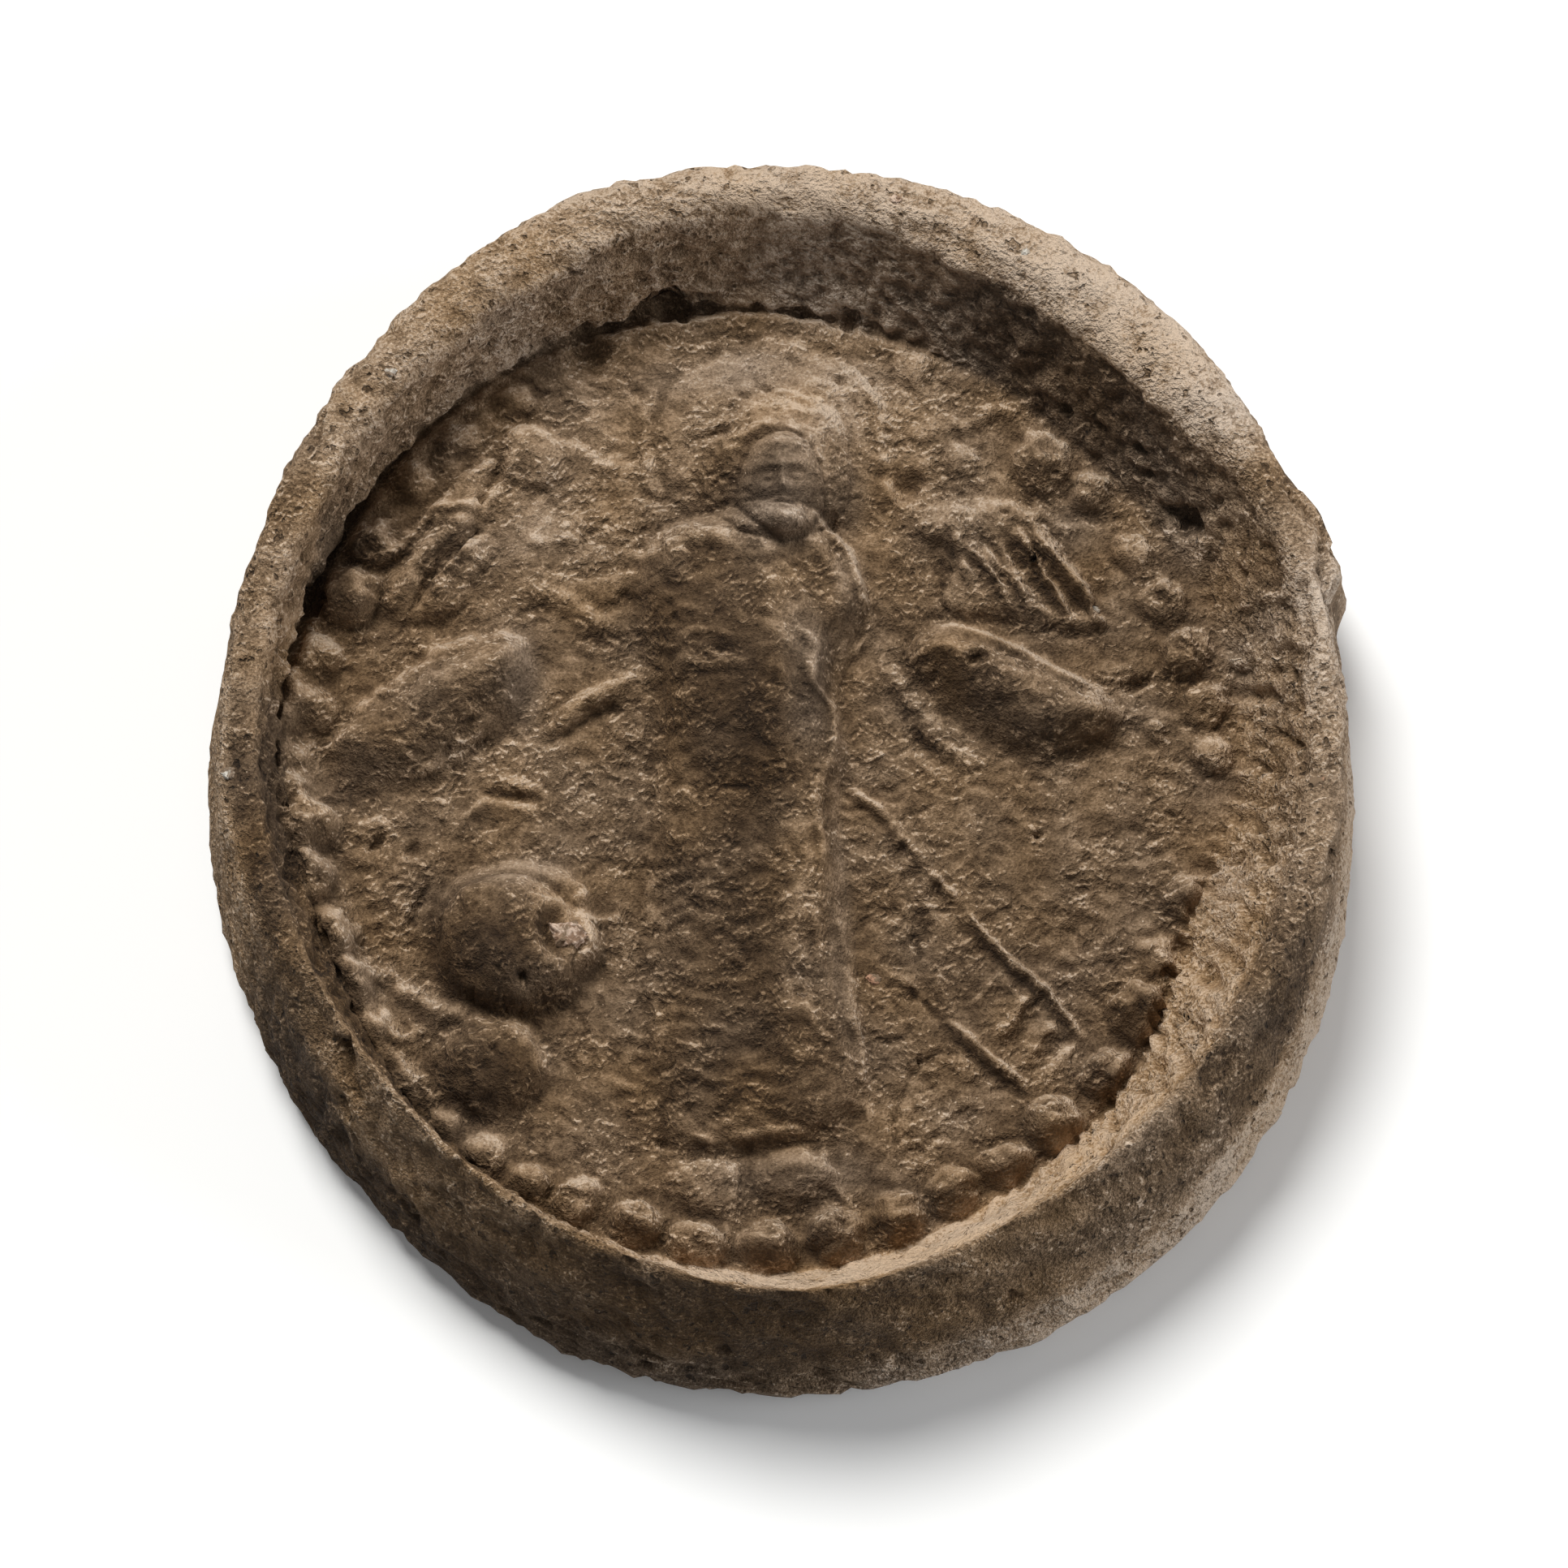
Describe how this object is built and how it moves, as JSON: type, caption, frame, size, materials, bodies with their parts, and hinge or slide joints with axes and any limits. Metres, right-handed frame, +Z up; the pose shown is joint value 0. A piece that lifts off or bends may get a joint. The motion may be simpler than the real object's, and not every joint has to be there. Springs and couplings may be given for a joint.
{
  "type": "pilgrim disc",
  "caption": "Oval disc of fired clay with a raised rim round a sunken face, stamped in low relief with a hooded figure between two winged attendants in a ring of beads.",
  "frame": {"origin": "under the middle of the disc's box, on the flat back that it lies on", "axes": "+Z up out of the stamped face, +Y towards the standing figure's head, +X to the right as one looks at the face with the head up"},
  "size_m": [0.0472, 0.051, 0.0093],
  "materials": {
    "fired_clay": "unglazed, matt, sandy, with fine mica flecks",
    "lime_stone": "rough broken grain",
    "quartz": "glassy broken grain",
    "grog": "crushed fired clay, matt"
  },
  "bodies": {
    "root": {"clay_disc": "fired_clay", "lime_grain": "lime_stone", "lime_chip_top": "lime_stone", "quartz_sliver": "quartz", "quartz_grain_robe": "quartz", "quartz_grain_upper_left": "quartz", "quartz_grain_upper_right": "quartz", "quartz_grain_left": "quartz", "brown_grog_grain": "grog", "pink_grog_grain": "grog"}
  },
  "joints": []
}
